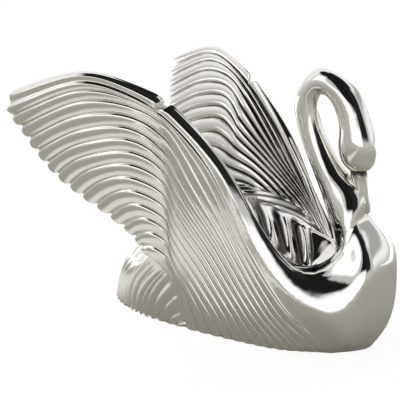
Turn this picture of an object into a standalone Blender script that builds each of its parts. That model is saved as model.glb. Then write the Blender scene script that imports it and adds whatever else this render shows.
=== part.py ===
# Swan figurine in Blender 4.5: one cast piece with raised, fluted wings and an open hollow between them.
# Frame: metres, +Z up, the swan looks along +X, its plane of symmetry is Y = 0 and its flat base is Z = 0.
# One half is a coarse cage made of six patches that share their border points. Mirror closes it and
# Subdivision Surface rounds it. Sizes below are millimetres unless a name says otherwise.

import bpy
import bmesh
import numpy as np

MM = 0.001

# Main sizes over all
LENGTH = 284.1
WING_SPAN = 247.0
HEIGHT = 220.8

# Sizes of the carving
FLUTE_COUNT = 14
FLUTE_DEPTH_WING = 3.6
FLUTE_DEPTH_ELBOW = 2.4
FLUTE_DEPTH_FLANK = 1.9
FLUTE_DEPTH_INSIDE = 2.6
SCALLOP_REACH = 4.0
FIRST_SCALLOP_SHARE = 0.3
WING_THICKNESS = 7.0
EDGE_THICKNESS = 5.0
TAIL_RIB_DEPTH = 2.6
TAIL_ROW_SHARES = [0.35, 1.0]
TAIL_SPLIT_COUNT = 4
TAIL_BULGE = 9.0
BACK_RIB_DEPTH = 2.2
SUBDIVISION_LEVEL = 1
FIT_ROUNDS = 3

# The sections below are drawn for a swan of this length, span and height, and stretched to the main sizes.
DRAWN_LENGTH = 284.1
DRAWN_SPAN = 247.0
DRAWN_HEIGHT = 220.8
STRETCH = np.array([LENGTH / DRAWN_LENGTH, WING_SPAN / DRAWN_SPAN, HEIGHT / DRAWN_HEIGHT])

# Rows of the outer skin are counted from the rim (row value -6) over the smooth shoulder to the first
# groove (0) and on to the lower edge of the last flute (FLUTE_COUNT).
RIM_ROW = -6
BASE_TIP_ROW = -2
INNER_BAND_ROWS = 2

# Sections of the outer skin from the trailing edge of the wing to the ground. Each is a curve through
# (row, x, y, z) points and the curves are spaced one cage column apart. Their rows are numbered for
# SECTION_FLUTES flutes; another FLUTE_COUNT divides the same curves differently.
SECTION_FLUTES = 14
TRAILING_EDGE = [(-6, -141, 120, 203), (-3, -141, 124, 200), (0, -137, 123, 193), (2, -131, 113, 177),
                 (4, -125, 103, 156), (6, -116, 92, 135), (8, -100, 81, 117), (10, -80, 71, 100),
                 (12, -61, 63, 82), (14, -52, 57.5, 64)]
OUTER_WING = [(-6, -86, 102.5, 220), (-3, -86, 107, 218), (0, -86, 108, 213), (2, -87, 102, 197),
              (4, -92, 96, 173), (6, -96, 90, 149), (8, -84, 81, 129), (10, -67, 71, 109),
              (12, -54, 63, 86), (14, -49, 57, 62)]
CREST = [(-6, -53, 86.5, 214), (-3, -53, 91, 212.5), (0, -53, 92, 207), (2, -51, 87, 196), (4, -53, 84, 178),
         (6, -56, 80, 158), (8, -58, 76, 136), (10, -51, 69, 112), (12, -44, 62, 87), (14, -44, 56, 58)]
STEP = [(-6, -18, 70, 194), (-3, -19, 75, 192), (0, -23, 76, 187), (2, -24, 72, 178), (4, -28, 70, 159),
        (6, -30, 69, 143), (8, -32, 66, 123), (10, -33, 62, 101), (12, -33, 58, 79), (14, -37, 54, 51)]
UPPER_ARM = [(-6, 22, 61.5, 151), (-3, 19, 67, 151), (0, 14, 68, 149), (4, -12, 63, 126), (8, -24, 60, 98),
             (11, -29, 57, 75), (14, -30, 51, 40)]
LOWER_ARM = [(-6, 53, 54, 99), (-3, 49, 60, 96), (0, 42, 61, 91), (4, 21, 57, 77), (8, 2, 54, 60),
             (11, -12, 52, 44), (14, -26, 48, 28)]
SHOULDER = [(-6, 82, 44, 68), (-4, 80, 51, 66), (-2, 76, 56, 59), (0, 69, 59, 48), (4, 46, 57, 41),
            (8, 21, 53.5, 33), (11, 0, 50, 25), (14, -24.5, 46.5, 17)]
NECK_FOOT = [(-6, 105, 26, 84), (-5, 108, 33, 74), (-4, 107, 40, 64), (-3, 103, 46, 52), (-1, 94, 52, 38),
             (0, 87, 53, 30), (4, 59, 53, 23), (8, 30, 51, 17), (11, 6, 48, 13), (14, -23.5, 45, 9)]
BREAST_SIDE = [(-6, 113, 18, 101), (-5, 127, 27, 84), (-4, 130, 31, 61), (-3, 128, 35, 37), (-2, 122, 38, 19),
               (-1, 110, 41, 17), (0, 100, 41, 12), (4, 71, 46, 8), (8, 37, 47, 6), (11, 10, 46, 5),
               (14, -23, 44.5, 3.5)]
FRONT_AND_GROUND = [(-6, 117, 0, 107), (-5, 134, 0, 86), (-4, 140, 0, 58), (-3, 138, 0, 26), (-2, 124, 0, 0),
                    (-1, 117, 14, 0), (0, 105, 25, 0), (2, 90, 32, 0), (4, 75, 38, 0), (6, 58, 42.5, 0),
                    (8, 40, 44, 0), (11, 10, 44.5, 0), (14, -23, 44, 0)]
OUTER_SECTIONS = [TRAILING_EDGE, OUTER_WING, CREST, STEP, UPPER_ARM, LOWER_ARM, SHOULDER, NECK_FOOT,
                  BREAST_SIDE, FRONT_AND_GROUND]

# Inner skin. Over the first WING_COLUMNS columns it follows the outer skin at the wing's thickness, then
# these sections, in (row, x, y, z), bring it down into the hollow between the wings.
WING_COLUMNS = 4
INNER_UPPER_ARM = [(0, 14, 58, 148), (3, 3, 58, 139), (6, -9, 58, 130), (10, -26, 55, 110), (14, -47, 49, 72)]
INNER_LOWER_ARM = [(0, 46, 51, 95), (3, 31, 52, 110), (6, 15, 53, 113), (10, -14, 51, 106), (14, -45, 48, 75)]
INNER_SHOULDER = [(0, 74, 34, 64), (3, 52, 46, 88), (6, 31, 48, 101), (10, -7, 48, 103), (14, -44, 47.5, 78)]
WING_FOOT = [(0, 95, 15, 78), (2, 80, 28, 68), (4, 64, 38, 76), (6, 43, 45, 91), (8, 22, 46, 98),
             (10, 0, 46, 102), (12, -24, 46, 98), (14, -43, 47, 80)]
INNER_SECTIONS = [INNER_UPPER_ARM, INNER_LOWER_ARM, INNER_SHOULDER, WING_FOOT]

# The back between the wings: a ridge on the plane of symmetry and the line where its ribs stop.
BACK_RIDGE = [(0, 90, 0, 84), (7, 67, 0, 92), (14, 45, 0, 100), (21, 15, 0, 110), (28, -20, 0, 112),
              (35, -76, 0, 78)]
RIB_STOP = [(0, 93, 8, 81), (3, 82, 15, 73), (6, 74, 24, 69), (10, 58, 32, 80), (15, 33, 35, 97),
            (21, 6, 35, 106), (28, -28, 30, 105), (35, -66, 26, 72)]

# How the carving fades: on the breast side after FULL_FLUTE_COLUMN, from a share at the first groove to
# the full depth some rows on; inside the wings towards the rear and the front, and at the foot of the
# wing; on the back over its last rows, with none on the rows next to the neck.
FULL_FLUTE_COLUMN = 5
FLUTE_FADE_START = 0.15
FLUTE_FADE_ROWS = 7.0
FLUTE_FADE_PER_COLUMN = 0.12
STRANDS_LEAVE_ROW = 9.0
CALM_ROWS = 7.0
CALM_SHARE = 0.15
WING_FOOT_SHARE = 0.25
INNER_BAND_LIFT = (0.0, -1.2, 0.7)
SMOOTH_BACK_COUNT = 5
FADING_BACK_COUNT = 10
RIB_LIFT_AT_STOP = (0.0, 0.4, 1.0)
RIB_LIFT_AT_RIDGE = (0.0, 0.0, 0.4)

# Tail: its outline on the ground from the rear middle to the last flute, the point that its ribs fan out
# from, and the direction in which it swells between its top and the ground.
TAIL_FOOT = [(0, -120, 0, 0), (3, -114, 15, 0), (6, -97, 28, 0), (9, -68, 39, 0), (12, -23, 44, 0)]
TAIL_FAN_CENTRE_X = 20.0
TAIL_FAN_SPREAD = 2.0
TAIL_SWELL = (-1.0, 0.8, 0.5)

# Moves the whole swan along X, so that the frame's origin is under the middle of its length.
CENTRING_X = 2.0

# Neck and head: (x, z) of the middle, the direction of the ring's front edge in degrees from +X towards
# +Z, half the depth in the plane of symmetry and half the width across it.
NECK_RINGS = [(99, 115, 42, 18.5, 19.0),
              (86, 134, 36, 13.0, 13.5),
              (75, 152, 27, 10.6, 11.0),
              (65, 174, 16, 9.6, 10.0),
              (61, 197, -8, 9.8, 10.2),
              (72, 211, -78, 10.4, 10.6),
              (90, 203, -142, 11.0, 11.2),
              (100, 184, -160, 12.4, 12.2),
              (104, 165, -176, 15.2, 14.2),
              (105, 150, -182, 13.0, 12.2),
              (105.6, 144, -180, 7.0, 7.2),
              (107, 138, -176, 7.0, 7.6),
              (112, 113, -170, 4.8, 6.2)]
NECK_RING_ANGLES = [180, 146, 112, 90, 68, 34, 0]
BILL_TIP = (113, 0, 108.5)

SILVER = (0.83, 0.815, 0.79, 1.0)
SILVER_ROUGHNESS = 0.06


def clear_scene():
    for thing in list(bpy.data.objects):
        bpy.data.objects.remove(thing, do_unlink=True)


def curve_through(knots, values, wanted):
    """Smooth cubic through points at increasing knots, with the slopes of a Catmull-Rom curve."""
    knots = np.asarray(knots, dtype=float)
    values = np.asarray(values, dtype=float)
    wanted = np.clip(np.asarray(wanted, dtype=float), knots[0], knots[-1])
    slopes = np.gradient(values, knots, axis=0)
    place = np.clip(np.searchsorted(knots, wanted, side="right") - 1, 0, len(knots) - 2)
    span = knots[place + 1] - knots[place]
    u = ((wanted - knots[place]) / span)[:, None]
    span = span[:, None]
    start = (1 + 2 * u) * (1 - u) ** 2
    end = u * u * (3 - 2 * u)
    leave = u * (1 - u) ** 2 * span
    arrive = u * u * (u - 1) * span
    return (start * values[place] + end * values[place + 1]
            + leave * slopes[place] + arrive * slopes[place + 1])


def section_points(section, rows):
    table = np.asarray(section, dtype=float)
    return curve_through(table[:, 0], table[:, 1:], rows)


def section_rows(rows):
    """Row numbers of this cage as row numbers of the sections."""
    return np.where(rows > 0, rows * SECTION_FLUTES / FLUTE_COUNT, rows)


def outer_rows():
    smooth = np.arange(RIM_ROW, 0, 1.0)
    fluted = np.arange(0, FLUTE_COUNT + 0.25, 0.5)
    return np.concatenate([smooth, fluted])


def is_ridge(row):
    return row > 0 and abs(row - round(row)) > 0.25


def surface_normals(grid, outward):
    """Unit normals of a grid of points, turned to the side that the outward vector points to."""
    along = np.gradient(grid, axis=1)
    across = np.gradient(grid, axis=0)
    normals = np.cross(along, across)
    normals /= np.maximum(np.linalg.norm(normals, axis=2, keepdims=True), 1e-9)
    if np.sum(normals[:, :, 1] * outward) < 0:
        normals = -normals
    return normals


def scallop(shaped, grid, rows):
    """Draw the ridges of the first column out past its grooves, for a scalloped trailing edge."""
    tangent = grid[:, 0] - grid[:, 1]
    tangent /= np.linalg.norm(tangent, axis=1, keepdims=True)
    for number, row in enumerate(rows):
        if is_ridge(row):
            share = FIRST_SCALLOP_SHARE if row < 1 else 1.0
            shaped[number, 0] += tangent[number] * SCALLOP_REACH * share


def outer_skin():
    rows = outer_rows()
    at = section_rows(rows)
    grid = np.stack([section_points(section, at) for section in OUTER_SECTIONS], axis=1)
    normals = surface_normals(grid, 1.0)
    last = len(OUTER_SECTIONS) - 1
    depths = [[FLUTE_DEPTH_WING], [FLUTE_DEPTH_WING], [FLUTE_DEPTH_ELBOW], [FLUTE_DEPTH_FLANK],
              [FLUTE_DEPTH_FLANK]]
    column_depth = curve_through([0, 2, 4, 6, last], depths, np.arange(last + 1))[:, 0]
    shaped = grid.copy()
    for number, row in enumerate(rows):
        if not is_ridge(row):
            continue
        for column in range(last + 1):
            fade = 1.0
            if column > FULL_FLUTE_COLUMN:
                from_breast = (last - column) * FLUTE_FADE_PER_COLUMN
                fade = min(1.0, FLUTE_FADE_START + at[number] / FLUTE_FADE_ROWS + from_breast)
            push = normals[number, column] * column_depth[column] * fade
            if column == last:
                push[2] = 0.0
            shaped[number, column] += push
    scallop(shaped, grid, rows)
    return rows, grid, shaped


def inner_skin(outer_grid, rows):
    """Rows: the flutes. Columns: trailing edge to the foot of the wing."""
    fluted = rows[rows >= 0]
    at = section_rows(fluted)
    start = int(np.argmin(np.abs(rows)))
    columns = []
    for column in range(WING_COLUMNS):
        base = outer_grid[start:, column].copy()
        thickness = EDGE_THICKNESS if column == 0 else WING_THICKNESS
        base[:, 1] -= thickness
        columns.append(base)
    for section in INNER_SECTIONS:
        columns.append(section_points(section, at))
    grid = np.stack(columns, axis=1)
    foot = grid.shape[1] - 1
    # the lowest strands leave the outer skin early, so that they can climb to the foot of the wing
    leave = np.clip((at - STRANDS_LEAVE_ROW) / (SECTION_FLUTES - STRANDS_LEAVE_ROW), 0.0, 1.0)
    for column in range(1, WING_COLUMNS):
        share = column / foot
        straight = grid[:, 0] * (1 - share) + grid[:, foot] * share
        grid[:, column] += (straight - grid[:, column]) * leave[:, None]
    normals = surface_normals(grid, -1.0)
    shaped = grid.copy()
    for number, row in enumerate(fluted):
        if not is_ridge(row):
            continue
        rear = np.clip((SECTION_FLUTES - at[number]) / CALM_ROWS, CALM_SHARE, 1.0)
        front = np.clip(at[number] / CALM_ROWS, CALM_SHARE, 1.0)
        for column in range(foot + 1):
            depth = FLUTE_DEPTH_INSIDE
            if column >= WING_COLUMNS:
                depth *= rear
            if column >= foot - 1:
                depth *= front
            if column == foot:
                depth *= WING_FOOT_SHARE
            shaped[number, column] += normals[number, column] * depth
    scallop(shaped, grid, fluted)
    return shaped


def ring_points(ring):
    x, z, lean, depth, width = ring
    lean = np.radians(lean)
    front = np.array([np.cos(lean), 0.0, np.sin(lean)])
    side = np.array([0.0, 1.0, 0.0])
    middle = np.array([x, 0.0, z], dtype=float)
    angles = np.radians(NECK_RING_ANGLES)
    return [middle + front * depth * np.cos(a) + side * width * np.sin(a) for a in angles]


class Cage:
    """Points and faces of one half. Patches share their border points; loose points aren't fitted."""

    def __init__(self):
        self.points = []
        self.faces = []
        self.sharp = set()
        self.loose = set()

    def add(self, point):
        self.points.append(np.asarray(point, dtype=float))
        return len(self.points) - 1

    def in_metres(self):
        centred = np.array(self.points) + np.array([CENTRING_X, 0.0, 0.0])
        return centred * STRETCH * MM

    def add_grid(self, grid):
        return [[self.add(point) for point in row] for row in grid]

    def fill(self, grid):
        for first, second in zip(grid[:-1], grid[1:]):
            for number in range(len(first) - 1):
                corners = [first[number], first[number + 1], second[number + 1], second[number]]
                unique = [c for k, c in enumerate(corners) if c not in corners[:k]]
                if len(unique) > 2:
                    self.faces.append(unique)

    def crease(self, line):
        for first, second in zip(line[:-1], line[1:]):
            if first != second:
                self.sharp.add(frozenset((first, second)))


def build_half():
    cage = Cage()
    rows, plain, shaped = outer_skin()
    zero_row = int(np.argmin(np.abs(rows)))
    outer = cage.add_grid(shaped)
    cage.fill(outer)
    last_column = len(OUTER_SECTIONS) - 1
    inner_points = inner_skin(plain, rows)
    foot_column = inner_points.shape[1] - 1

    # inner band between the rim and the first inner groove
    inner = [outer[0][:foot_column + 1]]
    for band in range(1, INNER_BAND_ROWS):
        share = band / INNER_BAND_ROWS
        strip = []
        for column in range(foot_column + 1):
            point = shaped[0, column] * (1 - share) + inner_points[0, column] * share
            strip.append(cage.add(point + np.array(INNER_BAND_LIFT)))
        inner.append(strip)
    inner += cage.add_grid(inner_points)
    cage.fill(inner)

    # edge strip along the scalloped trailing edge, and the rounded tip of the leading edge
    outer_edge = [outer[number][0] for number in range(zero_row, len(rows))]
    inner_edge = [line[0] for line in inner[INNER_BAND_ROWS:]]
    cage.fill([outer_edge, inner_edge])
    tip = [outer[number][0] for number in range(zero_row, -1, -1)]
    tip += [inner[number][0] for number in range(1, INNER_BAND_ROWS + 1)]
    cage.faces.append(tip)
    cage.loose.update(tip)

    # back between the wings, from the neck to the tail
    side = [line[foot_column] for line in inner[INNER_BAND_ROWS:]]
    side += list(reversed(inner[-1][:foot_column]))
    stop_points = section_points(RIB_STOP, np.linspace(0.0, RIB_STOP[-1][0], len(side)))
    ridge_points = section_points(BACK_RIDGE, np.linspace(0.0, BACK_RIDGE[-1][0], len(side)))
    last_rib = 2 * FLUTE_COUNT
    for number in range(SMOOTH_BACK_COUNT, last_rib, 2):
        calm = min(1.0, (last_rib - number) / FADING_BACK_COUNT)
        stop_points[number] += np.array(RIB_LIFT_AT_STOP) * BACK_RIB_DEPTH * calm
        ridge_points[number] += np.array(RIB_LIFT_AT_RIDGE) * BACK_RIB_DEPTH * calm
    stop = [cage.add(point) for point in stop_points]
    ridge = [cage.add(point) for point in ridge_points]
    cage.fill([side, stop, ridge])

    # tail fan below the last flute: the edges of the back split into rib sides, those of the flute don't
    top = [ridge[-1], stop[-1], side[-1]] + outer[-1]
    splits = [TAIL_SPLIT_COUNT] * (len(top) - len(outer[-1])) + [1] * (len(outer[-1]) - 1)
    ends = np.concatenate([[0], np.cumsum(splits)])
    count = ends[-1]
    foot_points = section_points(TAIL_FOOT, np.linspace(0.0, TAIL_FOOT[-1][0], count + 1))
    corners = np.array([cage.points[number] for number in top])
    tops = np.stack([np.interp(np.arange(count + 1), ends, corners[:, axis]) for axis in range(3)], axis=1)
    tail = []
    for share in TAIL_ROW_SHARES:
        strip = []
        for column in range(count):
            low = foot_points[column]
            across = column / count
            swell = TAIL_BULGE * np.sin(np.pi * share) * (1 - across)
            outward = np.array(TAIL_SWELL) * np.array([1.0, np.sin(np.pi * across), 1.0])
            point = tops[column] * (1 - share) + low * share + outward * swell
            if column % 2 == 1:
                away = np.array([low[0] - TAIL_FAN_CENTRE_X, low[1] * TAIL_FAN_SPREAD, 0.0])
                point += away / np.linalg.norm(away) * TAIL_RIB_DEPTH
            strip.append(cage.add(point))
        strip.append(outer[-1][last_column])
        tail.append(strip)
    for number in range(len(top) - 1):
        under = tail[0][ends[number]:ends[number + 1] + 1]
        under.reverse()
        cage.faces.append([top[number], top[number + 1]] + [c for c in under if c != top[number + 1]])
    cage.fill(tail)

    # neck, head and bill
    base = [ridge[0], stop[0], inner[INNER_BAND_ROWS][foot_column]]
    base += [inner[INNER_BAND_ROWS - 1][foot_column]]
    base += outer[0][foot_column:]
    neck = [base]
    for ring in NECK_RINGS:
        neck.append([cage.add(point) for point in ring_points(ring)])
    cage.fill(neck)
    tip_point = cage.add(BILL_TIP)
    cage.fill([neck[-1], [tip_point] * len(base)])

    # flat base
    ground = [outer[number][last_column] for number in range(int(BASE_TIP_ROW - RIM_ROW), len(rows))]
    ground += list(reversed(tail[-1][:-1]))
    cage.faces.append(ground)
    cage.crease(ground)

    for number, row in enumerate(rows):
        if row > 0 and not is_ridge(row):
            cage.crease(outer[number])
    for number in range(INNER_BAND_ROWS, len(inner)):
        if (number - INNER_BAND_ROWS) % 2 == 0:
            cage.crease(inner[number][:foot_column])
    for column in range(2, count, 2):
        cage.crease([line[column] for line in tail])
    return cage


def fit_cage(swan, wanted, loose):
    """Open the cage out until the rounded surface runs through the wanted points, the loose ones apart."""
    mesh = swan.data
    count = len(mesh.vertices)
    cage_points = wanted.copy()
    held = np.ones((count, 1))
    held[sorted(loose)] = 0.0
    for _ in range(FIT_ROUNDS):
        evaluated = swan.evaluated_get(bpy.context.evaluated_depsgraph_get())
        rounded = evaluated.to_mesh()
        reached = np.empty(len(rounded.vertices) * 3)
        rounded.vertices.foreach_get("co", reached)
        evaluated.to_mesh_clear()
        reached = reached.reshape(-1, 3)[:count]
        cage_points += (wanted - reached) * held
        cage_points[wanted[:, 1] == 0.0, 1] = 0.0
        cage_points[wanted[:, 2] == 0.0, 2] = 0.0
        mesh.vertices.foreach_set("co", cage_points.ravel())
        mesh.update()
        bpy.context.view_layer.update()


def make_swan(collection):
    cage = build_half()
    mesh = bpy.data.meshes.new("swan")
    wanted = cage.in_metres()
    mesh.from_pydata(wanted.tolist(), [], cage.faces)
    work = bmesh.new()
    work.from_mesh(mesh)
    bmesh.ops.recalc_face_normals(work, faces=work.faces)
    layer = work.edges.layers.float.new("crease_edge")
    for edge in work.edges:
        if frozenset((edge.verts[0].index, edge.verts[1].index)) in cage.sharp:
            edge[layer] = 1.0
    work.to_mesh(mesh)
    work.free()
    swan = bpy.data.objects.new("swan", mesh)
    mirror = swan.modifiers.new("other_half", "MIRROR")
    mirror.use_axis = (False, True, False)
    mirror.use_clip = True
    mirror.merge_threshold = 0.0001
    rounding = swan.modifiers.new("rounding", "SUBSURF")
    rounding.levels = SUBDIVISION_LEVEL
    rounding.render_levels = SUBDIVISION_LEVEL
    collection.objects.link(swan)
    fit_cage(swan, wanted, cage.loose)
    return swan


def silver():
    material = bpy.data.materials.new("silver_plate")
    material.use_nodes = True
    shader = material.node_tree.nodes["Principled BSDF"]
    shader.inputs["Base Color"].default_value = SILVER
    shader.inputs["Metallic"].default_value = 1.0
    shader.inputs["Roughness"].default_value = SILVER_ROUGHNESS
    return material


def main():
    clear_scene()
    collection = bpy.data.collections.new("swan_figurine")
    bpy.context.scene.collection.children.link(collection)
    swan = make_swan(collection)
    swan.data.materials.append(silver())
    swan.data.shade_smooth()


main()
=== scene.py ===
import math

import bmesh
import bpy
import numpy as np
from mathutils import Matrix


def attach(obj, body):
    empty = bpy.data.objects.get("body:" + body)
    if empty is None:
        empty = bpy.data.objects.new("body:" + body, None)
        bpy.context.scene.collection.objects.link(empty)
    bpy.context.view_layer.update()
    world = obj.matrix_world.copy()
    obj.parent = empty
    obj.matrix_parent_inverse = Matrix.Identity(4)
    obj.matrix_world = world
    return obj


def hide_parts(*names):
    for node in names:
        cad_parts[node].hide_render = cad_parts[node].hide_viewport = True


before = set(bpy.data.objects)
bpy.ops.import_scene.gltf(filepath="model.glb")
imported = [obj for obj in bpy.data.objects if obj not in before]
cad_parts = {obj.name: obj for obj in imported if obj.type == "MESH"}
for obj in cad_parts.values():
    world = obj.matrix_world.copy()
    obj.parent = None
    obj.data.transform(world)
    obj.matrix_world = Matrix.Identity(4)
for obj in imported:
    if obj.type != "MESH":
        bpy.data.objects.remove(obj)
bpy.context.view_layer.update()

MM = 0.001
CENTRING_X = 2.0

# The camera of the photograph
CAMERA_AZIMUTH = math.radians(30)
CAMERA_ELEVATION = math.radians(16)
CAMERA_LENS = 80.0
CAMERA_DISTANCE = 0.77
CAMERA_TARGET = (-0.0342, 0.0, 0.1001)

# The swan's skin, in millimetres: the sections of the CAD, sampled more finely
FLUTE_COUNT = 14
FLUTE_DEPTH_WING = 2.4
FLUTE_DEPTH_ELBOW = 1.9
FLUTE_DEPTH_FLANK = 2.7
FLUTE_DEPTH_INSIDE = 2.0
FLUTE_DEPTH_INNER_ARM = 3.0
INNER_ARM_COLUMNS = [2.0, 3.5]
SCALLOP_REACH = 3.2
FIRST_SCALLOP_SHARE = 0.3
# the notch in the leading edge: its column, and its depth over the rows from the rim
STEP_NOTCH_DEPTH = 3.2
STEP_NOTCH_COLUMN = 2.86
STEP_NOTCH_ROWS = [-6.0, -3.0, 0.0, 1.0]
STEP_NOTCH_SHARES = [1.0, 0.8, 0.35, 0.0]
STEP_NOTCH_INWARD = 0.6
STEP_NOTCH_DIRECTION = (0.5, 0.0, 0.85)
WING_THICKNESS = 7.0
EDGE_THICKNESS = 5.0
TAIL_RIB_DEPTH = 2.4
TAIL_ROW_SHARES = [0.12, 0.38, 0.69, 1.0]
TAIL_SPLIT_COUNT = 4
FLANK_SPLIT_COUNT = 2
TAIL_FOOT_TURN = 6.7
TAIL_BULGE = 9.0
BACK_RIB_DEPTH = 3.4
BACK_RIB_PERIOD = 3.0
BACK_RIB_SHARPNESS = 2.6
# painted shade and painted dark reflections in the recesses: how dark they are painted, over the columns of
# each skin and down the back's slope
OUTER_PAINTED_SHADE_COLUMNS = [0, 4, 7, 9]
OUTER_PAINTED_SHADE = [0.3, 0.35, 0.25, 0.1]
INNER_PAINTED_SHADE_COLUMNS = [0, 1.5, 3, 6, 7]
INNER_PAINTED_SHADE = [0.3, 0.6, 1.0, 1.0, 0.8]
BACK_PAINTED_SHADE = [0.0, 0.5, 1.0, 1.0, 1.0, 0.6]
INNER_BAND_ROWS = 3
SUBDIVISION_LEVEL = 2
FIT_ROUNDS = 2
GROOVE_CREASE = 0.8
MERGE_DISTANCE = 0.0001

# one flute across: share of its width and share of its height
FLUTE_PROFILE = [(0.0, 0.0), (0.14, 0.66), (0.5, 1.0), (0.86, 0.66)]
SMOOTH_ROWS = [-6, -5, -4, -3, -2, -1]
COLUMNS = [0, 0.5, 1, 1.5, 2, 2.5, 2.78, 2.86, 2.94, 3.15, 3.5, 4, 4.5, 5, 6, 7, 7.5, 8, 8.5, 9]
BACK_COLUMNS = [0, 0.5, 1, 1.33, 1.67, 2]
BACK_RIB_SHARES = [0.0, 0.0, 0.5, 1.0, 1.0, 0.1]
BACK_RIB_LIFT = (0.0, 0.35, 1.0)
RIDGE_LIFT = (0.0, 0.0, 1.0)

TRAILING_EDGE = [(-6, -141, 120, 203), (-3, -141, 124, 200), (0, -137, 123, 193), (2, -131, 113, 177),
                 (4, -125, 103, 156), (6, -116, 92, 135), (8, -100, 81, 117), (10, -80, 71, 100),
                 (12, -61, 63, 82), (14, -52, 57.5, 64)]
OUTER_WING = [(-6, -86, 102.5, 220), (-3, -86, 107, 218), (0, -86, 108, 213), (2, -87, 102, 197),
              (4, -92, 96, 173), (6, -96, 90, 149), (8, -84, 81, 129), (10, -67, 71, 109),
              (12, -54, 63, 86), (14, -49, 57, 62)]
CREST = [(-6, -53, 86.5, 214), (-3, -53, 91, 212.5), (0, -53, 92, 207), (2, -51, 87, 196), (4, -53, 84, 178),
         (6, -56, 80, 158), (8, -58, 76, 136), (10, -51, 69, 112), (12, -44, 62, 87), (14, -44, 56, 58)]
STEP = [(-6, -18, 70, 194), (-3, -19, 73.5, 192), (0, -23, 77, 187), (2, -24, 72, 178), (4, -28, 70, 159),
        (6, -30, 69, 143), (8, -32, 66, 123), (10, -33, 62, 101), (12, -33, 58, 79), (14, -37, 54, 51)]
UPPER_ARM = [(-6, 22, 61, 151), (-3, 20, 64.5, 151.5), (0, 13, 69.5, 148), (4, -12, 63, 126),
             (8, -24, 60, 98), (11, -29, 57, 75), (14, -30, 51, 40)]
LOWER_ARM = [(-6, 53, 53, 99), (-3, 50, 57, 97), (0, 41, 62.5, 90), (4, 21, 57, 77), (8, 2, 54, 60),
             (11, -12, 52, 44), (14, -26, 48, 28)]
SHOULDER = [(-6, 82, 44, 68), (-4, 80, 49.5, 66), (-2, 76, 55, 59), (0, 69, 59, 48), (4, 46, 57, 41),
            (8, 21, 53.5, 33), (11, 0, 50, 25), (14, -24.5, 46.5, 17)]
NECK_FOOT = [(-6, 105, 26, 84), (-5, 108, 33, 74), (-4, 107, 40, 64), (-3, 103, 46, 52), (-1, 94, 52, 38),
             (0, 87, 53, 30), (4, 59, 53, 23), (8, 30, 51, 17), (11, 6, 48, 13), (14, -23.5, 45, 9)]
BREAST_SIDE = [(-6, 113, 18, 101), (-5, 127, 27, 84), (-4, 130, 31, 61), (-3, 128, 35, 37), (-2, 122, 38, 19),
               (-1, 110, 41, 17), (0, 100, 41, 12), (4, 71, 46, 8), (8, 37, 47, 6), (11, 10, 46, 5),
               (14, -23, 44.5, 3.5)]
FRONT_AND_GROUND = [(-6, 117, 0, 107), (-5, 134, 0, 86), (-4, 140, 0, 58), (-3, 138, 0, 26), (-2, 124, 0, 0),
                    (-1, 117, 14, 0), (0, 105, 25, 0), (2, 90, 32, 0), (4, 75, 38, 0), (6, 58, 42.5, 0),
                    (8, 40, 44, 0), (11, 10, 44.5, 0), (14, -23, 44, 0)]
OUTER_SECTIONS = [TRAILING_EDGE, OUTER_WING, CREST, STEP, UPPER_ARM, LOWER_ARM, SHOULDER, NECK_FOOT,
                  BREAST_SIDE, FRONT_AND_GROUND]

WING_COLUMNS = 4
INNER_UPPER_ARM = [(0, 14, 58, 148), (3, 3, 58, 139), (6, -9, 58, 130), (10, -26, 55, 110), (14, -47, 49, 72)]
INNER_LOWER_ARM = [(0, 46, 51, 95), (3, 31, 52, 110), (6, 15, 53, 113), (10, -14, 51, 106), (14, -45, 48, 75)]
INNER_SHOULDER = [(0, 74, 34, 64), (3, 52, 46, 88), (6, 31, 48, 101), (10, -7, 48, 103), (14, -44, 47.5, 78)]
WING_FOOT = [(0, 95, 15, 78), (2, 80, 28, 68), (4, 64, 38, 76), (6, 43, 45, 91), (8, 22, 46, 98),
             (10, 0, 46, 102), (12, -24, 46, 98), (14, -43, 47, 80)]
INNER_SECTIONS = [INNER_UPPER_ARM, INNER_LOWER_ARM, INNER_SHOULDER, WING_FOOT]

BACK_RIDGE = [(0, 90, 0, 84), (4, 70, 0, 91), (10, 36, 0, 103), (15, 8, 0, 110), (21, -22, 0, 111),
              (28, -50, 0, 99), (35, -76, 0, 78)]
RIB_STOP = [(0, 93, 8, 81), (3, 82, 15, 73), (6, 74, 24, 69), (10, 58, 32, 80), (15, 33, 35, 97),
            (21, 6, 35, 106), (28, -28, 30, 105), (35, -66, 26, 72)]
BACK_SPAN = 35
FIRST_BACK_RIB = 4.0
LAST_BACK_RIB = 28.0

FULL_FLUTE_COLUMN = 5
FLUTE_FADE_START = 0.25
FLUTE_FADE_ROWS = 7.0
FLUTE_FADE_PER_COLUMN = 0.12
STRANDS_LEAVE_ROW = 9.0
CALM_ROWS = 7.0
CALM_SHARE = 0.15
WING_FOOT_SHARE = 0.25
# the inner strands are evened out towards their neighbours from this row on
EVENING_ROW = 6.0
EVENING_ROWS = 4.0
EVENING_SHARE = 0.5
EVENING_ROUNDS = 2
INNER_BAND_LIFT = (0.0, -1.2, 0.7)

TAIL_FOOT = [(0, -120, 0, 0), (3, -114, 15, 0), (6, -97, 28, 0), (9, -68, 39, 0), (12, -23, 44, 0)]
TAIL_FAN_CENTRE_X = 20.0
TAIL_FAN_SPREAD = 2.0
TAIL_SWELL = (-1.0, 0.8, 0.5)
TAIL_RIB_PROFILE = [0.0, 0.8, 1.0, 0.8]
TAIL_RIB_START = 0.4

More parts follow.
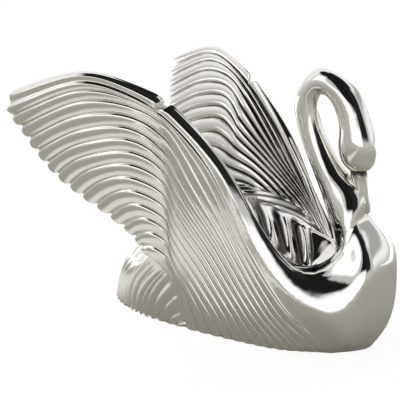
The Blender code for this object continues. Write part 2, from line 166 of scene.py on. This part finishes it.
NECK_RINGS = [(99, 115, 42, 18.5, 19.0),
              (86, 134, 36, 13.0, 13.5),
              (75, 152, 27, 10.6, 11.0),
              (65, 174, 16, 9.6, 10.0),
              (61, 197, -8, 9.8, 10.2),
              (72, 211, -78, 10.4, 10.6),
              (90, 203, -142, 11.0, 11.2),
              (100, 184, -160, 12.4, 12.2),
              (104, 165, -176, 15.2, 14.2),
              (104.8, 154, -181, 13.9, 13.0),
              (105.2, 149.5, -181.5, 11.9, 11.4),
              (105.6, 146, -181, 9.0, 9.0),
              (105.8, 144, -180, 6.5, 6.9),
              (107, 138, -176, 6.4, 7.2),
              (112, 113, -170, 4.8, 6.2)]
NECK_STEP = 0.5
NECK_RING_ANGLES = [180, 168, 156, 146, 129, 112, 103, 92, 76, 58, 38, 19, 0]
BILL_TIP = (113, 0, 108.5)
# painted shade in the groove where the bill leaves the head, and a painted darker reflection on the bill,
# over the rings counted from the neck's foot
BILL_PAINTED_SHADE_RINGS = [12.3, 13, 13.8, 15]
BILL_PAINTED_SHADE = [0.0, 0.95, 0.42, 0.38]


def curve_through(knots, values, wanted):
    """Smooth cubic through values at increasing knots, with the slopes of a Catmull-Rom curve."""
    knots = np.asarray(knots, dtype=float)
    values = np.asarray(values, dtype=float)
    wanted = np.clip(np.asarray(wanted, dtype=float), knots[0], knots[-1])
    slopes = np.gradient(values, knots, axis=0)
    place = np.clip(np.searchsorted(knots, wanted, side="right") - 1, 0, len(knots) - 2)
    span = knots[place + 1] - knots[place]
    u = (wanted - knots[place]) / span
    shape = (len(wanted),) + (1,) * (values.ndim - 1)
    u = u.reshape(shape)
    span = span.reshape(shape)
    start = (1 + 2 * u) * (1 - u) ** 2
    end = u * u * (3 - 2 * u)
    leave = u * (1 - u) ** 2 * span
    arrive = u * u * (u - 1) * span
    return (start * values[place] + end * values[place + 1]
            + leave * slopes[place] + arrive * slopes[place + 1])


def section_points(section, rows):
    table = np.asarray(section, dtype=float)
    return curve_through(table[:, 0], table[:, 1:], rows)


def across_columns(grid, columns):
    """Resample a grid whose columns are numbered 0, 1, 2... at other column numbers."""
    turned = np.swapaxes(grid, 0, 1)
    return np.swapaxes(curve_through(np.arange(len(turned)), turned, columns), 0, 1)


def flute_rows():
    """Row numbers over the flutes and the share of the flute's height at each."""
    rows = []
    heights = []
    for flute in range(FLUTE_COUNT):
        for place, height in FLUTE_PROFILE:
            rows.append(flute + place)
            heights.append(height)
    return np.array(rows + [FLUTE_COUNT]), np.array(heights + [0.0])


def surface_normals(grid, outward):
    along = np.gradient(grid, axis=1)
    across = np.gradient(grid, axis=0)
    normals = np.cross(along, across)
    normals /= np.maximum(np.linalg.norm(normals, axis=2, keepdims=True), 1e-9)
    if np.sum(normals[:, :, 1] * outward) < 0:
        normals = -normals
    return normals


def scallop(shaped, grid, rows, heights):
    tangent = grid[:, 0] - grid[:, 1]
    tangent /= np.linalg.norm(tangent, axis=1, keepdims=True)
    for number, row in enumerate(rows):
        share = FIRST_SCALLOP_SHARE if row < 1 else 1.0
        shaped[number, 0] += tangent[number] * SCALLOP_REACH * share * heights[number]


def outer_skin():
    fluted, heights = flute_rows()
    rows = np.concatenate([SMOOTH_ROWS, fluted])
    heights = np.concatenate([np.zeros(len(SMOOTH_ROWS)), heights])
    coarse = np.stack([section_points(section, rows) for section in OUTER_SECTIONS], axis=1)
    grid = across_columns(coarse, COLUMNS)
    normals = surface_normals(grid, 1.0)
    last = len(OUTER_SECTIONS) - 1
    depths = [[FLUTE_DEPTH_WING], [FLUTE_DEPTH_WING], [FLUTE_DEPTH_ELBOW], [FLUTE_DEPTH_FLANK],
              [FLUTE_DEPTH_FLANK]]
    column_depth = curve_through([0, 2, 4, 6, last], depths, COLUMNS)[:, 0]
    shaped = grid.copy()
    for number, row in enumerate(rows):
        for place, column in enumerate(COLUMNS):
            fade = 1.0
            if column > FULL_FLUTE_COLUMN:
                ease = min(1.0, column - FULL_FLUTE_COLUMN)
                reduced = FLUTE_FADE_START + row / FLUTE_FADE_ROWS + (last - column) * FLUTE_FADE_PER_COLUMN
                fade = 1.0 - ease * (1.0 - min(1.0, reduced))
            push = normals[number, place] * column_depth[place] * fade * heights[number]
            if column == last:
                push[2] = 0.0
            shaped[number, place] += push
    scallop(shaped, grid, rows, heights)
    notch = COLUMNS.index(STEP_NOTCH_COLUMN)
    for number, row in enumerate(rows):
        depth = STEP_NOTCH_DEPTH * np.interp(row, STEP_NOTCH_ROWS, STEP_NOTCH_SHARES)
        shaped[number, notch] -= normals[number, notch] * depth * STEP_NOTCH_INWARD
        shaped[number, notch] -= np.array(STEP_NOTCH_DIRECTION) * depth
    # the grooves get painted shade and painted dark reflections, kept as a value per point
    hollow = (1.0 - heights) * (rows >= 0.0)
    painted_shade = hollow[:, None] * np.interp(COLUMNS, OUTER_PAINTED_SHADE_COLUMNS, OUTER_PAINTED_SHADE)[None, :]
    return rows, coarse, shaped, painted_shade


def inner_skin(outer_coarse, rows):
    at, heights = flute_rows()
    start = len(SMOOTH_ROWS)
    columns = []
    for column in range(WING_COLUMNS):
        base = outer_coarse[start:, column].copy()
        base[:, 1] -= EDGE_THICKNESS if column == 0 else WING_THICKNESS
        columns.append(base)
    for section in INNER_SECTIONS:
        columns.append(section_points(section, at))
    coarse = np.stack(columns, axis=1)
    foot = coarse.shape[1] - 1
    leave = np.clip((at - STRANDS_LEAVE_ROW) / (FLUTE_COUNT - STRANDS_LEAVE_ROW), 0.0, 1.0)
    for column in range(1, WING_COLUMNS):
        share = column / foot
        straight = coarse[:, 0] * (1 - share) + coarse[:, foot] * share
        coarse[:, column] += (straight - coarse[:, column]) * leave[:, None]
    evened = EVENING_SHARE * np.clip((at - EVENING_ROW) / EVENING_ROWS, 0.0, 1.0)
    for _ in range(EVENING_ROUNDS):
        between = (coarse[:, :-2] + coarse[:, 2:]) / 2
        coarse[:, 1:-1] += (between - coarse[:, 1:-1]) * evened[:, None, None]
    places = [column for column in COLUMNS if column <= foot]
    grid = across_columns(coarse, places)
    normals = surface_normals(grid, -1.0)
    shaped = grid.copy()
    for number in range(len(at)):
        rear = np.clip((FLUTE_COUNT - at[number]) / CALM_ROWS, CALM_SHARE, 1.0)
        front = np.clip(at[number] / CALM_ROWS, CALM_SHARE, 1.0)
        for place, column in enumerate(places):
            share = np.interp(column, [WING_COLUMNS - 1, WING_COLUMNS, foot - 2, foot - 1, foot],
                              [1.0, rear, rear, rear * front, rear * front * WING_FOOT_SHARE])
            depth = np.interp(column, INNER_ARM_COLUMNS, [FLUTE_DEPTH_INSIDE, FLUTE_DEPTH_INNER_ARM])
            shaped[number, place] += normals[number, place] * depth * share * heights[number]
    scallop(shaped, grid, at, heights)
    # the inner flutes' grooves get painted shade and painted dark reflections, darkest on the inner arm
    hollow = 1.0 - heights ** 2
    painted_shade = hollow[:, None] * np.interp(places, INNER_PAINTED_SHADE_COLUMNS, INNER_PAINTED_SHADE)[None, :]
    return shaped, painted_shade


def ring_points(ring):
    x, z, lean, depth, width = ring
    lean = np.radians(lean)
    front = np.array([np.cos(lean), 0.0, np.sin(lean)])
    side = np.array([0.0, 1.0, 0.0])
    middle = np.array([x, 0.0, z], dtype=float)
    angles = np.radians(NECK_RING_ANGLES)
    return [middle + front * depth * np.cos(a) + side * width * np.sin(a) for a in angles]


class Cage:
    """Points and faces of one half. Patches share their border points; loose points aren't fitted."""

    def __init__(self):
        self.points = []
        self.painted_shade = []
        self.faces = []
        self.sharp = set()
        self.loose = set()

    def add(self, point, painted_shade=0.0):
        self.points.append(np.asarray(point, dtype=float))
        self.painted_shade.append(float(painted_shade))
        return len(self.points) - 1

    def in_metres(self):
        return (np.array(self.points) + np.array([CENTRING_X, 0.0, 0.0])) * MM

    def add_grid(self, grid, painted_shade=None):
        if painted_shade is None:
            painted_shade = np.zeros(grid.shape[:2])
        rows = zip(grid, painted_shade)
        return [[self.add(point, dark) for point, dark in zip(row, shades)] for row, shades in rows]

    def fill(self, grid):
        for first, second in zip(grid[:-1], grid[1:]):
            for number in range(len(first) - 1):
                corners = [first[number], first[number + 1], second[number + 1], second[number]]
                unique = [c for k, c in enumerate(corners) if c not in corners[:k]]
                if len(unique) > 2:
                    self.faces.append(unique)

    def crease(self, line, amount=1.0):
        for first, second in zip(line[:-1], line[1:]):
            if first != second:
                self.sharp.add((frozenset((first, second)), amount))


def add_back(cage, side):
    """Rows of cage points from the foot of each strand of the wing over its ribbed slope to the ridge."""
    at = np.linspace(0.0, BACK_SPAN, len(side))
    feet = np.array([cage.points[number] for number in side])
    three = np.stack([feet, section_points(RIB_STOP, at), section_points(BACK_RIDGE, at)], axis=0)
    spread = curve_through([0, 1, 2], three, BACK_COLUMNS)
    spread[-1, :, 1] = 0.0
    wave = np.abs(np.sin(np.pi * (at - FIRST_BACK_RIB) / BACK_RIB_PERIOD)) ** BACK_RIB_SHARPNESS
    wave *= (at > FIRST_BACK_RIB) * (at < LAST_BACK_RIB)
    for column in range(1, len(BACK_COLUMNS)):
        lift = np.array(BACK_RIB_LIFT if column < len(BACK_COLUMNS) - 1 else RIDGE_LIFT)
        spread[column] += wave[:, None] * lift * BACK_RIB_DEPTH * BACK_RIB_SHARES[column]
    grid = [side]
    for column in range(1, len(BACK_COLUMNS)):
        # the hollows between the back's ribs get painted shade and painted dark reflections
        hollow = (1.0 - wave) * BACK_PAINTED_SHADE[column] * (at > FIRST_BACK_RIB) * (at < LAST_BACK_RIB)
        grid.append([cage.add(point, dark) for point, dark in zip(spread[column], hollow)])
    cage.fill(grid)
    return grid


def add_tail(cage, top, back_edges, last_point):
    splits = [TAIL_SPLIT_COUNT] * back_edges + [FLANK_SPLIT_COUNT] * (len(top) - 1 - back_edges)
    ends = np.concatenate([[0], np.cumsum(splits)])
    count = ends[-1]
    side_count = len(TAIL_RIB_PROFILE)
    ribs = count - count % side_count
    turn = [0, ends[back_edges], count]
    foot_points = section_points(TAIL_FOOT, np.interp(np.arange(count + 1), turn,
                                                      [0.0, TAIL_FOOT_TURN, TAIL_FOOT[-1][0]]))
    corners = np.array([cage.points[number] for number in top])
    tops = np.stack([np.interp(np.arange(count + 1), ends, corners[:, axis]) for axis in range(3)], axis=1)
    tail = []
    for share in TAIL_ROW_SHARES:
        strip = []
        for column in range(count):
            low = foot_points[column]
            across = column / count
            swell = TAIL_BULGE * np.sin(np.pi * share) * (1 - across)
            outward = np.array(TAIL_SWELL) * np.array([1.0, np.sin(np.pi * across), 1.0])
            point = tops[column] * (1 - share) + low * share + outward * swell
            if column < ribs:
                away = np.array([low[0] - TAIL_FAN_CENTRE_X, low[1] * TAIL_FAN_SPREAD, 0.0])
                height = TAIL_RIB_PROFILE[column % side_count] * min(1.0, TAIL_RIB_START + share)
                point += away / np.linalg.norm(away) * TAIL_RIB_DEPTH * height
            strip.append(cage.add(point))
        strip.append(last_point)
        tail.append(strip)
    for number in range(len(top) - 1):
        under = tail[0][ends[number]:ends[number + 1] + 1]
        under.reverse()
        cage.faces.append([top[number], top[number + 1]] + [c for c in under if c != top[number + 1]])
    cage.fill(tail)
    for column in range(side_count, ribs, side_count):
        cage.crease([line[column] for line in tail])
    return tail


def add_neck(cage, base):
    lines = [[cage.points[number] for number in base]] + [ring_points(ring) for ring in NECK_RINGS]
    knots = np.arange(len(lines))
    places = np.arange(NECK_STEP, len(lines) - 1 + NECK_STEP / 2, NECK_STEP)
    fine = curve_through(knots, np.array(lines), places)
    fine[:, 0, 1] = 0.0
    fine[:, -1, 1] = 0.0
    # painted shade at the bill's groove and a painted darker reflection on the bill
    painted_shade = np.interp(places, BILL_PAINTED_SHADE_RINGS, BILL_PAINTED_SHADE)[:, None] * np.ones(len(base))
    neck = [base] + cage.add_grid(fine, painted_shade)
    cage.fill(neck)
    tip = cage.add(BILL_TIP, BILL_PAINTED_SHADE[-1])
    cage.fill([neck[-1], [tip] * len(base)])


def build_half():
    cage = Cage()
    rows, coarse, shaped, outer_painted_shade = outer_skin()
    zero_row = len(SMOOTH_ROWS)
    outer = cage.add_grid(shaped, outer_painted_shade)
    cage.fill(outer)
    inner_points, inner_painted_shade = inner_skin(coarse, rows)
    foot_column = inner_points.shape[1] - 1

    inner = [outer[0][:foot_column + 1]]
    for band in range(1, INNER_BAND_ROWS):
        share = band / INNER_BAND_ROWS
        bow = 4 * share * (1 - share)
        strip = []
        for column in range(foot_column + 1):
            point = shaped[0, column] * (1 - share) + inner_points[0, column] * share
            strip.append(cage.add(point + np.array(INNER_BAND_LIFT) * bow))
        inner.append(strip)
    inner += cage.add_grid(inner_points, inner_painted_shade)
    cage.fill(inner)

    outer_edge = [outer[number][0] for number in range(zero_row, len(rows))]
    inner_edge = [line[0] for line in inner[INNER_BAND_ROWS:]]
    cage.fill([outer_edge, inner_edge])
    tip = [outer[number][0] for number in range(zero_row, -1, -1)]
    tip += [inner[number][0] for number in range(1, INNER_BAND_ROWS + 1)]
    cage.faces.append(tip)
    cage.loose.update(tip)

    side = [line[foot_column] for line in inner[INNER_BAND_ROWS:]]
    side += list(reversed(inner[-1][:foot_column]))
    back = add_back(cage, side)

    top = [line[-1] for line in reversed(back)] + outer[-1]
    tail = add_tail(cage, top, len(back), outer[-1][-1])

    base = [line[0] for line in reversed(back)]
    base += [inner[number][foot_column] for number in range(INNER_BAND_ROWS - 1, 0, -1)]
    base += outer[0][foot_column:]
    add_neck(cage, base)

    ground = [outer[number][-1] for number in range(SMOOTH_ROWS.index(-2), len(rows))]
    ground += list(reversed(tail[-1][:-1]))
    cage.faces.append(ground)
    cage.crease(ground)

    per_flute = len(FLUTE_PROFILE)
    for number in range(zero_row + per_flute, len(rows), per_flute):
        cage.crease(outer[number], GROOVE_CREASE)
    for number in range(INNER_BAND_ROWS, len(inner), per_flute):
        cage.crease(inner[number][:foot_column], GROOVE_CREASE)
    return cage


def fit_cage(swan, wanted, loose):
    """Open the cage out until the rounded surface runs through the wanted points, the loose ones apart."""
    mesh = swan.data
    count = len(mesh.vertices)
    cage_points = wanted.copy()
    held = np.ones((count, 1))
    held[sorted(loose)] = 0.0
    for _ in range(FIT_ROUNDS):
        evaluated = swan.evaluated_get(bpy.context.evaluated_depsgraph_get())
        rounded = evaluated.to_mesh()
        reached = np.empty(len(rounded.vertices) * 3)
        rounded.vertices.foreach_get("co", reached)
        evaluated.to_mesh_clear()
        reached = reached.reshape(-1, 3)[:count]
        cage_points += (wanted - reached) * held
        cage_points[wanted[:, 1] == 0.0, 1] = 0.0
        cage_points[wanted[:, 2] == 0.0, 2] = 0.0
        mesh.vertices.foreach_set("co", cage_points.ravel())
        mesh.update()
        bpy.context.view_layer.update()


def make_swan():
    cage = build_half()
    mesh = bpy.data.meshes.new("swan_skin")
    wanted = cage.in_metres()
    mesh.from_pydata(wanted.tolist(), [], cage.faces)
    work = bmesh.new()
    work.from_mesh(mesh)
    bmesh.ops.recalc_face_normals(work, faces=work.faces)
    # the painted shade of each point becomes a mesh attribute that the silver reads
    shade = work.verts.layers.float.new("painted_shade")
    work.verts.ensure_lookup_table()
    for vertex, dark in zip(work.verts, cage.painted_shade):
        vertex[shade] = dark
    layer = work.edges.layers.float.new("crease_edge")
    sharp = dict(cage.sharp)
    for edge in work.edges:
        edge[layer] = sharp.get(frozenset((edge.verts[0].index, edge.verts[1].index)), 0.0)
    work.to_mesh(mesh)
    work.free()
    swan = bpy.data.objects.new("swan_skin", mesh)
    bpy.context.scene.collection.objects.link(swan)
    mirror = swan.modifiers.new("other_half", "MIRROR")
    mirror.use_axis = (False, True, False)
    mirror.use_clip = True
    mirror.merge_threshold = MERGE_DISTANCE
    rounding = swan.modifiers.new("rounding", "SUBSURF")
    rounding.levels = SUBDIVISION_LEVEL
    rounding.render_levels = SUBDIVISION_LEVEL
    fit_cage(swan, wanted, cage.loose)
    mesh.shade_smooth()
    return swan


def node(tree, kind, *values, **settings):
    """A node with its settings, its first inputs set or linked."""
    made = tree.nodes.new(kind)
    for name, value in settings.items():
        setattr(made, name, value)
    for number, value in enumerate(values):
        if value is None:
            continue
        if isinstance(value, bpy.types.NodeSocket):
            tree.links.new(value, made.inputs[number])
        else:
            made.inputs[number].default_value = value
    return made


def ramp(tree, value, low, high):
    """0 below low, 1 above high, eased between."""
    made = node(tree, "ShaderNodeMapRange", value, low, high, interpolation_type="SMOOTHSTEP")
    return made.outputs["Result"]


def times(tree, first, second):
    return node(tree, "ShaderNodeMath", first, second, operation="MULTIPLY").outputs[0]


BEHIND = (-math.sin(CAMERA_AZIMUTH), math.cos(CAMERA_AZIMUTH), 0.0)
RIGHT = (math.cos(CAMERA_AZIMUTH), math.sin(CAMERA_AZIMUTH), 0.0)
# The floor is lit by the studio. Camera rays see it white. In the silver it is taupe with a faint even lift,
# and its glow
# there paints light on it: paler with distance, white far behind the swan and a pool of light in a strip to
# its left. Metres.
FLOOR_HALF = 20.0
FLOOR_COLOUR = (0.66, 0.64, 0.58, 1.0)
FLOOR_COLOUR_UNDER_GLOW = (0.22, 0.22, 0.22, 1.0)
FLOOR_GLOW = 0.9
FLOOR_LIFT = 0.03
PAINTED_LIGHT_WITH_DISTANCE = (0.35, 1.5)
PAINTED_LIGHT_WITH_DISTANCE_LEVEL = 0.12
PAINTED_LIGHT_BEHIND = (0.12, 0.5)
PAINTED_LIGHT_STRIP_NEAR_EDGE = (0.09, 0.13)
PAINTED_LIGHT_STRIP_FAR_EDGE = (0.22, 0.16)
PAINTED_LIGHT_STRIP_LEVEL = 0.42


def make_floor():
    mesh = bpy.data.meshes.new("floor")
    half = FLOOR_HALF
    corners = [(-half, -half, 0), (half, -half, 0), (half, half, 0), (-half, half, 0)]
    mesh.from_pydata(corners, [], [(0, 1, 2, 3)])
    floor = bpy.data.objects.new("floor", mesh)
    bpy.context.scene.collection.objects.link(floor)
    material = bpy.data.materials.new("pale_floor")
    material.use_nodes = True
    tree = material.node_tree
    for made in list(tree.nodes):
        tree.nodes.remove(made)
    output = tree.nodes.new("ShaderNodeOutputMaterial")
    path = tree.nodes.new("ShaderNodeLightPath")
    place = tree.nodes.new("ShaderNodeTexCoord").outputs["Object"]
    colour = node(tree, "ShaderNodeMix", path.outputs["Is Camera Ray"], data_type="RGBA")
    colour.inputs[6].default_value = FLOOR_COLOUR
    colour.inputs[7].default_value = FLOOR_COLOUR_UNDER_GLOW
    diffuse = node(tree, "ShaderNodeBsdfDiffuse", colour.outputs[2])
    reach = node(tree, "ShaderNodeVectorMath", place, operation="LENGTH").outputs["Value"]
    # painted light in the glow that glossy rays see: paler with distance, white behind the swan, a strip to
    # the left
    painted_light = times(tree, ramp(tree, reach, *PAINTED_LIGHT_WITH_DISTANCE), path.outputs["Is Glossy Ray"])
    painted_light = times(tree, painted_light, PAINTED_LIGHT_WITH_DISTANCE_LEVEL)
    lift = times(tree, path.outputs["Is Glossy Ray"], FLOOR_LIFT)
    painted_light = node(tree, "ShaderNodeMath", painted_light, lift, operation="ADD").outputs[0]
    far = node(tree, "ShaderNodeVectorMath", place, BEHIND, operation="DOT_PRODUCT").outputs["Value"]
    aside = node(tree, "ShaderNodeVectorMath", place, RIGHT, operation="DOT_PRODUCT").outputs["Value"]
    left = times(tree, aside, -1.0)
    left = times(tree, ramp(tree, left, *PAINTED_LIGHT_STRIP_NEAR_EDGE), ramp(tree, left, *PAINTED_LIGHT_STRIP_FAR_EDGE))
    left = times(tree, left, PAINTED_LIGHT_STRIP_LEVEL)
    behind = ramp(tree, far, *PAINTED_LIGHT_BEHIND)
    bright = node(tree, "ShaderNodeMath", behind, left, operation="MAXIMUM").outputs[0]
    bright = times(tree, bright, path.outputs["Is Glossy Ray"])
    seen = times(tree, path.outputs["Is Camera Ray"], FLOOR_GLOW)
    strength = node(tree, "ShaderNodeMath", bright, seen, operation="ADD").outputs[0]
    strength = node(tree, "ShaderNodeMath", strength, painted_light, operation="ADD").outputs[0]
    glow = node(tree, "ShaderNodeEmission", (1.0, 1.0, 1.0, 1.0), strength)
    both = node(tree, "ShaderNodeAddShader", diffuse.outputs[0], glow.outputs[0])
    tree.links.new(both.outputs[0], output.inputs["Surface"])
    mesh.materials.append(material)


# The silver
SILVER = (0.83, 0.815, 0.785, 1.0)
# the colour of the painted shade and painted dark reflections in the recesses
PAINTED_SHADE_IN_RECESSES = (0.09, 0.083, 0.075, 1.0)
SILVER_ROUGHNESS = 0.045
WORN_ROUGHNESS = 0.13
RECESS_ROUGHNESS = 0.22
WORN_RANGE = (0.45, 0.75)
PAINTED_SHADE_UNEVENNESS = 0.7
PAINTED_SHADE_RANGE = (0.3, 0.7)
PAINTED_SHADE_START = (0.02, 0.3)
CLOUDS_PER_METRE = 38.0
CLOUDS_DETAIL = 4.0
WAVES_PER_METRE = 95.0
WAVES_DETAIL = 1.0
PEEL_PER_METRE = 520.0
PEEL_DETAIL = 2.0
WAVE_HEIGHT = 0.00012
PEEL_HEIGHT = 0.000012


def noise(tree, place, scale, detail):
    made = node(tree, "ShaderNodeTexNoise", place)
    made.inputs["Scale"].default_value = scale
    made.inputs["Detail"].default_value = detail
    return made.outputs["Fac"]


def bump(tree, height, distance, under=None):
    made = node(tree, "ShaderNodeBump")
    made.inputs["Distance"].default_value = distance
    tree.links.new(height, made.inputs["Height"])
    if under is not None:
        tree.links.new(under, made.inputs["Normal"])
    return made.outputs["Normal"]


def blend_numbers(tree, share, first, second):
    made = node(tree, "ShaderNodeMix", share, data_type="FLOAT")
    for number, value in ((2, first), (3, second)):
        if isinstance(value, bpy.types.NodeSocket):
            tree.links.new(value, made.inputs[number])
        else:
            made.inputs[number].default_value = value
    return made.outputs[0]


def silver_plate():
    """Polished plate: slow waves in its surface, cloudy wear, and painted shade and painted dark reflections
    in the recesses, uneven under the clouds.
    """
    material = bpy.data.materials.new("silver_plate_polished")
    material.use_nodes = True
    tree = material.node_tree
    shader = tree.nodes["Principled BSDF"]
    shader.inputs["Metallic"].default_value = 1.0
    place = tree.nodes.new("ShaderNodeTexCoord").outputs["Object"]
    clouds = noise(tree, place, CLOUDS_PER_METRE, CLOUDS_DETAIL)
    grain = noise(tree, place, PEEL_PER_METRE, PEEL_DETAIL)
    # painted shade: the value per point, made uneven by the clouds, darkens the silver towards the recess
    # colour
    painted_shade = node(tree, "ShaderNodeAttribute", attribute_name="painted_shade").outputs["Fac"]
    uneven = node(tree, "ShaderNodeMath", clouds, 0.5, operation="SUBTRACT").outputs[0]
    uneven = times(tree, uneven, PAINTED_SHADE_UNEVENNESS)
    dark = node(tree, "ShaderNodeMath", painted_shade, uneven, operation="ADD").outputs[0]
    dark = times(tree, ramp(tree, dark, *PAINTED_SHADE_RANGE), ramp(tree, painted_shade, *PAINTED_SHADE_START))
    colour = node(tree, "ShaderNodeMix", dark, data_type="RGBA")
    colour.inputs[6].default_value = SILVER
    colour.inputs[7].default_value = PAINTED_SHADE_IN_RECESSES
    tree.links.new(colour.outputs[2], shader.inputs["Base Color"])
    worn = blend_numbers(tree, ramp(tree, clouds, *WORN_RANGE), SILVER_ROUGHNESS, WORN_ROUGHNESS)
    rough = blend_numbers(tree, dark, worn, RECESS_ROUGHNESS)
    tree.links.new(rough, shader.inputs["Roughness"])
    waves = bump(tree, noise(tree, place, WAVES_PER_METRE, WAVES_DETAIL), WAVE_HEIGHT)
    tree.links.new(bump(tree, grain, PEEL_HEIGHT, waves), shader.inputs["Normal"])
    return material


# Bright and dark parts of the studio as the silver reflects them, in degrees: turn from straight behind the
# swan, positive to the right; half width; height above the floor; half height; softness; and the level.
STUDIO_PATCHES = [(-40, 54, 52, 36, 12, 0.98),
                  (-22, 38, 5, 14, 6, 1.0),
                  (60, 48, 32, 27, 6, 1.05),
                  (76, 33, 31, 11, 5, 0.45),
                  (-122, 17, 37, 22, 6, 1.4),
                  (0, 180, 90, 22, 4, 0.012),
                  (120, 94, 90, 36, 4, 0.012),
                  (155, 28, 36, 26, 4, 0.02),
                  (184, 21, 40, 24, 3, 0.012),
                  (196, 30, 6, 10, 4, 1.3)]
STUDIO_LEVEL = 0.6


def soft_inside(tree, value, centre, half, softness):
    away = node(tree, "ShaderNodeMath", value, centre, operation="SUBTRACT").outputs[0]
    away = node(tree, "ShaderNodeMath", away, 180.0, -180.0, operation="WRAP").outputs[0]
    away = node(tree, "ShaderNodeMath", away, operation="ABSOLUTE").outputs[0]
    return node(tree, "ShaderNodeMapRange", away, half - softness, half + softness, 1.0, 0.0,
                interpolation_type="SMOOTHSTEP").outputs["Result"]


def make_world():
    world = bpy.data.worlds.new("studio")
    bpy.context.scene.world = world
    world.use_nodes = True
    tree = world.node_tree
    for made in list(tree.nodes):
        tree.nodes.remove(made)
    output = tree.nodes.new("ShaderNodeOutputWorld")
    direction = tree.nodes.new("ShaderNodeTexCoord").outputs["Generated"]
    along = node(tree, "ShaderNodeVectorMath", direction, BEHIND, operation="DOT_PRODUCT").outputs["Value"]
    aside = node(tree, "ShaderNodeVectorMath", direction, RIGHT, operation="DOT_PRODUCT").outputs["Value"]
    turn = node(tree, "ShaderNodeMath", aside, along, operation="ARCTAN2").outputs[0]
    turn = node(tree, "ShaderNodeMath", turn, operation="DEGREES").outputs[0]
    height = node(tree, "ShaderNodeSeparateXYZ", direction).outputs["Z"]
    height = node(tree, "ShaderNodeMath", height, operation="ARCSINE").outputs[0]
    height = node(tree, "ShaderNodeMath", height, operation="DEGREES").outputs[0]
    level = None
    for centre, half, middle, reach, softness, value in STUDIO_PATCHES:
        inside = times(tree, soft_inside(tree, turn, centre, half, softness),
                       soft_inside(tree, height, middle, reach, softness))
        blend = node(tree, "ShaderNodeMix", inside, data_type="FLOAT")
        if level is None:
            blend.inputs[2].default_value = STUDIO_LEVEL
        else:
            tree.links.new(level, blend.inputs[2])
        blend.inputs[3].default_value = value
        level = blend.outputs[0]
    path = tree.nodes.new("ShaderNodeLightPath")
    strength = node(tree, "ShaderNodeMix", path.outputs["Is Camera Ray"], data_type="FLOAT")
    tree.links.new(level, strength.inputs[2])
    strength.inputs[3].default_value = 1.0
    background = node(tree, "ShaderNodeBackground", (1.0, 1.0, 1.0, 1.0))
    tree.links.new(strength.outputs[0], background.inputs["Strength"])
    tree.links.new(background.outputs[0], output.inputs["Surface"])


def make_camera():
    back = np.array([math.sin(CAMERA_AZIMUTH) * math.cos(CAMERA_ELEVATION),
                     -math.cos(CAMERA_AZIMUTH) * math.cos(CAMERA_ELEVATION), math.sin(CAMERA_ELEVATION)])
    data = bpy.data.cameras.new("photo_view")
    data.lens = CAMERA_LENS
    data.sensor_width = 36.0
    data.clip_start = 0.01
    camera = bpy.data.objects.new("photo_view", data)
    bpy.context.scene.collection.objects.link(camera)
    camera.location = np.array(CAMERA_TARGET) + back * CAMERA_DISTANCE
    camera.rotation_euler = (math.pi / 2 - CAMERA_ELEVATION, 0.0, CAMERA_AZIMUTH)
    bpy.context.scene.camera = camera


swan = make_swan()
swan.data.materials.append(silver_plate())
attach(swan, "root")
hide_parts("swan")
make_floor()
make_world()
make_camera()
bpy.context.scene.view_settings.view_transform = "Standard"
